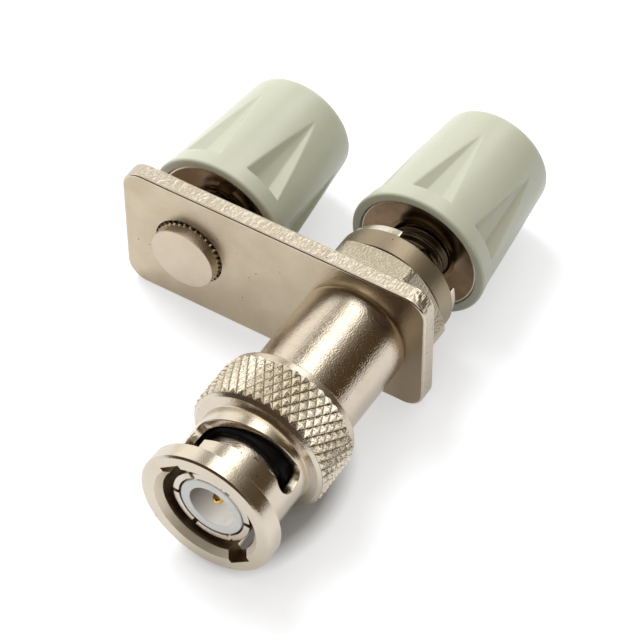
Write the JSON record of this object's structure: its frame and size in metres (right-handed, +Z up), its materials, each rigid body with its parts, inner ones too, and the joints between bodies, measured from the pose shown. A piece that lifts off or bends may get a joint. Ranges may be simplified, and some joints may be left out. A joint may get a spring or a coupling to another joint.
{
  "type": "bnc adapter",
  "caption": "Plated adapter that turns a bayonet coaxial plug into a pair of fluted binding posts carried side by side on a flat plate.",
  "frame": {"origin": "on the ground under the middle of the adapter's box, with the plate standing on its long edge", "axes": "+Y from the plug towards the knobs, +X from the ground post to the signal post, +Z up"},
  "size_m": [0.034, 0.0532, 0.015],
  "materials": {
    "plate": "satin nickel plate",
    "plug_barrel": "satin nickel plate",
    "outer_contact": "bright nickel plate",
    "plug_insulator": "white fluoropolymer",
    "centre_pin": "gold plate",
    "front_gasket": "black rubber",
    "coupling_nut": "satin nickel plate",
    "thrust_washer": "plain",
    "wave_spring": "spring temper",
    "retaining_ring": "plain",
    "hex_nut": "tumbled nickel plate",
    "post_insulator": "dark moulding",
    "signal_post": "satin nickel plate",
    "signal_knob_insert": "nickel plate",
    "signal_knob": "grey-green moulding",
    "ground_post": "satin nickel plate",
    "ground_knob_insert": "nickel plate",
    "ground_knob": "grey-green moulding"
  },
  "bodies": {
    "adapter": {"plate": "plate", "plug_barrel": "plug_barrel", "outer_contact": "outer_contact", "plug_insulator": "plug_insulator", "centre_pin": "centre_pin", "front_gasket": "front_gasket", "wave_spring": "wave_spring", "retaining_ring": "retaining_ring", "hex_nut": "hex_nut", "post_insulator": "post_insulator", "signal_post": "signal_post", "ground_post": "ground_post"},
    "coupling_thrust": {"thrust_washer": "thrust_washer"},
    "coupling": {"coupling_nut": "coupling_nut"},
    "signal_insert": {"signal_knob_insert": "signal_knob_insert"},
    "signal_knob": {"signal_knob": "signal_knob"},
    "ground_insert": {"ground_knob_insert": "ground_knob_insert"},
    "ground_knob": {"ground_knob": "ground_knob"}
  },
  "joints": [
    {"name": "coupling_slide", "type": "slide", "parent": "adapter", "child": "coupling_thrust", "axis": [0, -1, 0], "range_m": [0, 0.0008], "stiffness_N_per_m": 4000, "springref_m": -0.0005, "deforming": ["wave_spring"]},
    {"name": "coupling_turn", "type": "hinge", "parent": "coupling_thrust", "child": "coupling", "pos_m": [0.00953, -0.0185, 0.0075], "axis": [0, 1, 0], "continuous": true},
    {"name": "signal_knob_lift", "type": "slide", "parent": "adapter", "child": "signal_insert", "axis": [0, 1, 0], "range_m": [-0.0029, 0.0025]},
    {"name": "signal_knob_turn", "type": "hinge", "parent": "signal_insert", "child": "signal_knob", "pos_m": [0.00953, 0.0115, 0.0075], "axis": [0, 1, 0], "range_deg": [-1047, 903]},
    {"name": "ground_knob_lift", "type": "slide", "parent": "adapter", "child": "ground_insert", "axis": [0, 1, 0], "range_m": [-0.002, 0.0025]},
    {"name": "ground_knob_turn", "type": "hinge", "parent": "ground_insert", "child": "ground_knob", "pos_m": [-0.00953, 0.0115, 0.0075], "axis": [0, 1, 0], "range_deg": [-723, 903]}
  ],
  "couplings": [
    {"joint": "signal_knob_turn", "follows": "signal_knob_lift", "rad_per_m": 6283.2},
    {"joint": "ground_knob_turn", "follows": "ground_knob_lift", "rad_per_m": 6283.2}
  ]
}
